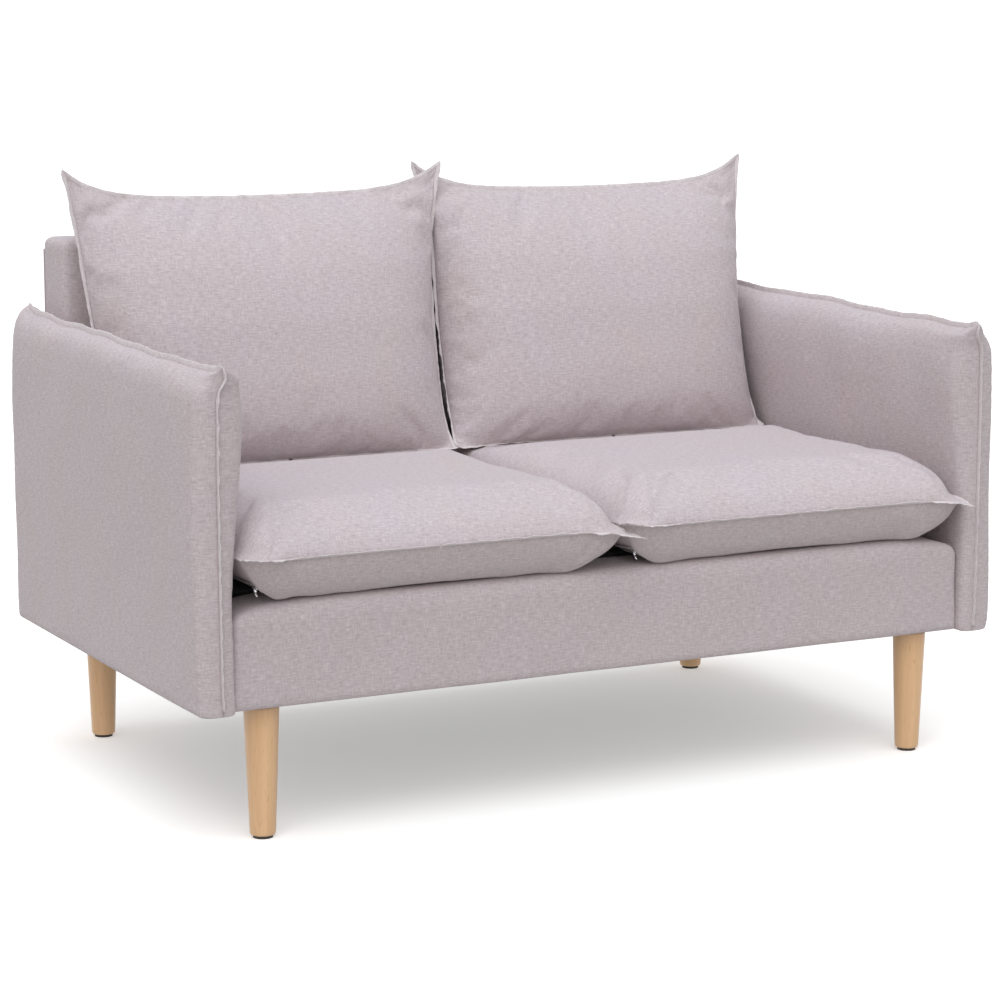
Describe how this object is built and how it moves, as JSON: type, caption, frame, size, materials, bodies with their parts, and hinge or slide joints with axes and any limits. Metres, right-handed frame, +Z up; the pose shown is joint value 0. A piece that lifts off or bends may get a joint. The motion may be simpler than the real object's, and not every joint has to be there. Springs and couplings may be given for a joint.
{
  "type": "two-seat sofa",
  "caption": "Compact upholstered sofa with padded flanged arms, loose seat and back cushions and tapered round wooden legs.",
  "frame": {"origin": "on the floor under the middle of the sofa's outline", "axes": "+X towards the viewer's right when facing the sofa, +Y towards its back, +Z up; the seat faces -Y"},
  "size_m": [1.3, 0.814, 0.88],
  "materials": {
    "upholstery": "woven linen-look upholstery, light warm grey",
    "lining_cloth": "black non-woven lining",
    "webbing": "black elastic webbing",
    "foam": "cream upholstery foam",
    "timber": "rough pine and plywood",
    "hardboard": "brown hardboard",
    "beech": "clear lacquered beech",
    "glide_plastic": "dark moulded plastic",
    "spring_steel": "dark spring steel",
    "steel": "zinc-plated steel",
    "zip_tape": "woven zip tape",
    "zip_metal": "plated zip slider"
  },
  "bodies": {
    "frame": {"base_front_rail": "timber", "base_rear_rail": "timber", "base_side_rails": "timber", "base_spring_rail": "timber", "base_middle_beam": "timber", "corner_blocks": "timber", "back_plinth": "timber", "seat_springs": "spring_steel", "spring_clips": "spring_steel", "deck_foam": "foam", "deck_cloth": "lining_cloth", "base_cover": "upholstery", "dust_cover": "lining_cloth", "back_top_rail": "timber", "back_bottom_rail": "timber", "back_posts": "timber", "back_webbing": "webbing", "back_foam": "foam", "back_cover": "upholstery", "back_rear_panel": "upholstery", "back_bolts": "steel", "left_arm_frame": "timber", "left_arm_board": "hardboard", "left_arm_foam": "foam", "left_arm_outer_cover": "upholstery", "left_arm_inner_cover": "upholstery", "left_arm_flange": "upholstery", "right_arm_frame": "timber", "right_arm_board": "hardboard", "right_arm_foam": "foam", "right_arm_outer_cover": "upholstery", "right_arm_inner_cover": "upholstery", "right_arm_flange": "upholstery", "arm_bolts": "steel", "arm_nuts": "steel", "leg_front_left": "beech", "leg_front_right": "beech", "leg_rear_left": "beech", "leg_rear_right": "beech", "leg_bolts": "steel", "leg_nuts": "steel", "leg_glides": "glide_plastic"},
    "left_seat_cushion": {"left_seat_cover": "upholstery", "left_seat_core": "foam", "left_seat_zip": "zip_tape"},
    "left_back_cushion": {"left_back_cover": "upholstery", "left_back_filling": "foam", "left_back_zip": "zip_tape"},
    "right_seat_cushion": {"right_seat_cover": "upholstery", "right_seat_core": "foam", "right_seat_zip": "zip_tape"},
    "right_back_cushion": {"right_back_cover": "upholstery", "right_back_filling": "foam", "right_back_zip": "zip_tape"},
    "left_seat_zip_pull": {"left_seat_zip_slider": "zip_metal"},
    "left_back_zip_pull": {"left_back_zip_slider": "zip_metal"},
    "right_seat_zip_pull": {"right_seat_zip_slider": "zip_metal"},
    "right_back_zip_pull": {"right_back_zip_slider": "zip_metal"}
  },
  "joints": [
    {"name": "left_seat_slide_out", "type": "slide", "parent": "frame", "child": "left_seat_cushion", "axis": [0, -1, 0], "range_m": [0, 0.72]},
    {"name": "left_back_lift_off", "type": "slide", "parent": "frame", "child": "left_back_cushion", "axis": [0, 0, 1], "range_m": [0, 0.5]},
    {"name": "right_seat_slide_out", "type": "slide", "parent": "frame", "child": "right_seat_cushion", "axis": [0, -1, 0], "range_m": [0, 0.72]},
    {"name": "right_back_lift_off", "type": "slide", "parent": "frame", "child": "right_back_cushion", "axis": [0, 0, 1], "range_m": [0, 0.5]},
    {"name": "left_seat_zip_run", "type": "slide", "parent": "left_seat_cushion", "child": "left_seat_zip_pull", "axis": [0, 1, 0], "range_m": [0, 0.42]},
    {"name": "left_back_zip_run", "type": "slide", "parent": "left_back_cushion", "child": "left_back_zip_pull", "axis": [1, 0, 0], "range_m": [0, 0.42]},
    {"name": "right_seat_zip_run", "type": "slide", "parent": "right_seat_cushion", "child": "right_seat_zip_pull", "axis": [0, 1, 0], "range_m": [0, 0.42]},
    {"name": "right_back_zip_run", "type": "slide", "parent": "right_back_cushion", "child": "right_back_zip_pull", "axis": [1, 0, 0], "range_m": [0, 0.42]}
  ]
}
